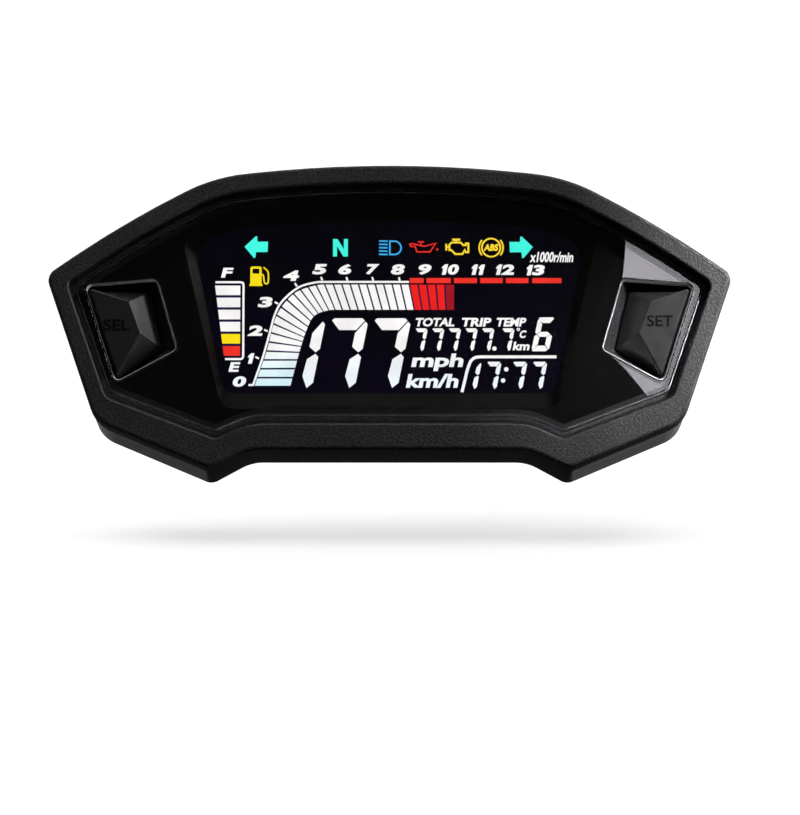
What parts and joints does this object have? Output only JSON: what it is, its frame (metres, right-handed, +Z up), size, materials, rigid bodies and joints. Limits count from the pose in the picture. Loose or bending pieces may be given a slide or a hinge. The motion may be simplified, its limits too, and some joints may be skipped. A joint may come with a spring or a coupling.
{
  "type": "motorcycle instrument cluster",
  "caption": "Wide faceted digital instrument cluster for a motorcycle, with a colour segment display, two side keys, rear rubber mounts and a harness lead.",
  "frame": {"origin": "centre of the three-point mounting pattern, on the plane of the threaded inserts' rear faces", "axes": "+X to the rider's right along the display's width, +Z up, the display faces -Y"},
  "size_m": [0.1502, 0.0486, 0.0675],
  "materials": {
    "case_abs": "fine spark-eroded grain, satin black",
    "lens_clear": "clear polycarbonate with a back-printed black border",
    "adhesive": "black acrylic foam tape",
    "key_plastic": "satin black",
    "switch_plastic": "moulded black nylon",
    "switch_plunger": "moulded nylon",
    "tinned_metal": "tin plate",
    "foam_gasket": "closed-cell foam",
    "polarizer": "anti-glare film",
    "lcd_glass": "polished",
    "diffuser": "opal acrylic",
    "holder_plastic": "white reflective moulding",
    "zebra_rubber": "layered elastomer",
    "led_package": "phosphor-filled resin",
    "board_laminate": "solder mask over fibreglass",
    "chip_epoxy": "moulded epoxy",
    "can_metal": "drawn can",
    "capacitor_can": "drawn can",
    "ferrite": "sintered ferrite",
    "chip_ceramic": "fired ceramic",
    "header_plastic": "natural nylon",
    "wire_pvc": "extruded insulation",
    "seal_rubber": "moulded silicone",
    "screw_steel": "zinc plated",
    "insert_brass": "turned",
    "collar_steel": "zinc plated",
    "damper_rubber": "moulded",
    "grommet_rubber": "moulded",
    "sheath_pvc": "satin extruded jacket",
    "connector_plastic": "moulded nylon",
    "vent_plastic": "moulded"
  },
  "bodies": {
    "cluster": {"front_case": "case_abs", "lens": "lens_clear", "lens_adhesive": "adhesive", "switch_housings": "switch_plastic", "switch_terminals": "tinned_metal", "lcd_gasket": "foam_gasket", "lcd_front_polarizer": "polarizer", "lcd_front_glass": "lcd_glass", "lcd_rear_glass": "lcd_glass", "lcd_rear_polarizer": "polarizer", "diffuser_plate": "diffuser", "lcd_holder": "holder_plastic", "zebra_strips": "zebra_rubber", "backlight_leds": "led_package", "circuit_board": "board_laminate", "microcontroller": "chip_epoxy", "microcontroller_leads": "tinned_metal", "crystal": "can_metal", "voltage_regulator": "chip_epoxy", "capacitors": "capacitor_can", "power_inductor": "ferrite", "transient_diode": "chip_epoxy", "chip_parts": "chip_ceramic", "board_header": "header_plastic", "board_plug": "header_plastic", "board_wires": "wire_pvc", "case_seal": "seal_rubber", "rear_housing": "case_abs", "case_screws": "screw_steel", "mount_inserts": "insert_brass", "mount_collars": "collar_steel", "mount_dampers": "damper_rubber", "cable_grommet": "grommet_rubber", "cable_sheath": "sheath_pvc", "harness_wires": "wire_pvc", "harness_connector": "connector_plastic", "connector_terminals": "insert_brass", "vent_cap": "vent_plastic"},
    "key_left": {"keycap_left": "key_plastic"},
    "key_right": {"keycap_right": "key_plastic"},
    "plunger_left": {"plunger_left": "switch_plunger"},
    "plunger_right": {"plunger_right": "switch_plunger"}
  },
  "joints": [
    {"name": "key_left_press", "type": "slide", "parent": "cluster", "child": "key_left", "axis": [0, 1, 0], "range_m": [0, 0.0006], "stiffness_N_per_m": 800},
    {"name": "key_right_press", "type": "slide", "parent": "cluster", "child": "key_right", "axis": [0, 1, 0], "range_m": [0, 0.0006], "stiffness_N_per_m": 800},
    {"name": "plunger_left_press", "type": "slide", "parent": "cluster", "child": "plunger_left", "axis": [0, 1, 0], "range_m": [0, 0.0006]},
    {"name": "plunger_right_press", "type": "slide", "parent": "cluster", "child": "plunger_right", "axis": [0, 1, 0], "range_m": [0, 0.0006]}
  ],
  "couplings": [
    {"joint": "plunger_left_press", "follows": "key_left_press", "ratio": 1},
    {"joint": "plunger_right_press", "follows": "key_right_press", "ratio": 1}
  ]
}
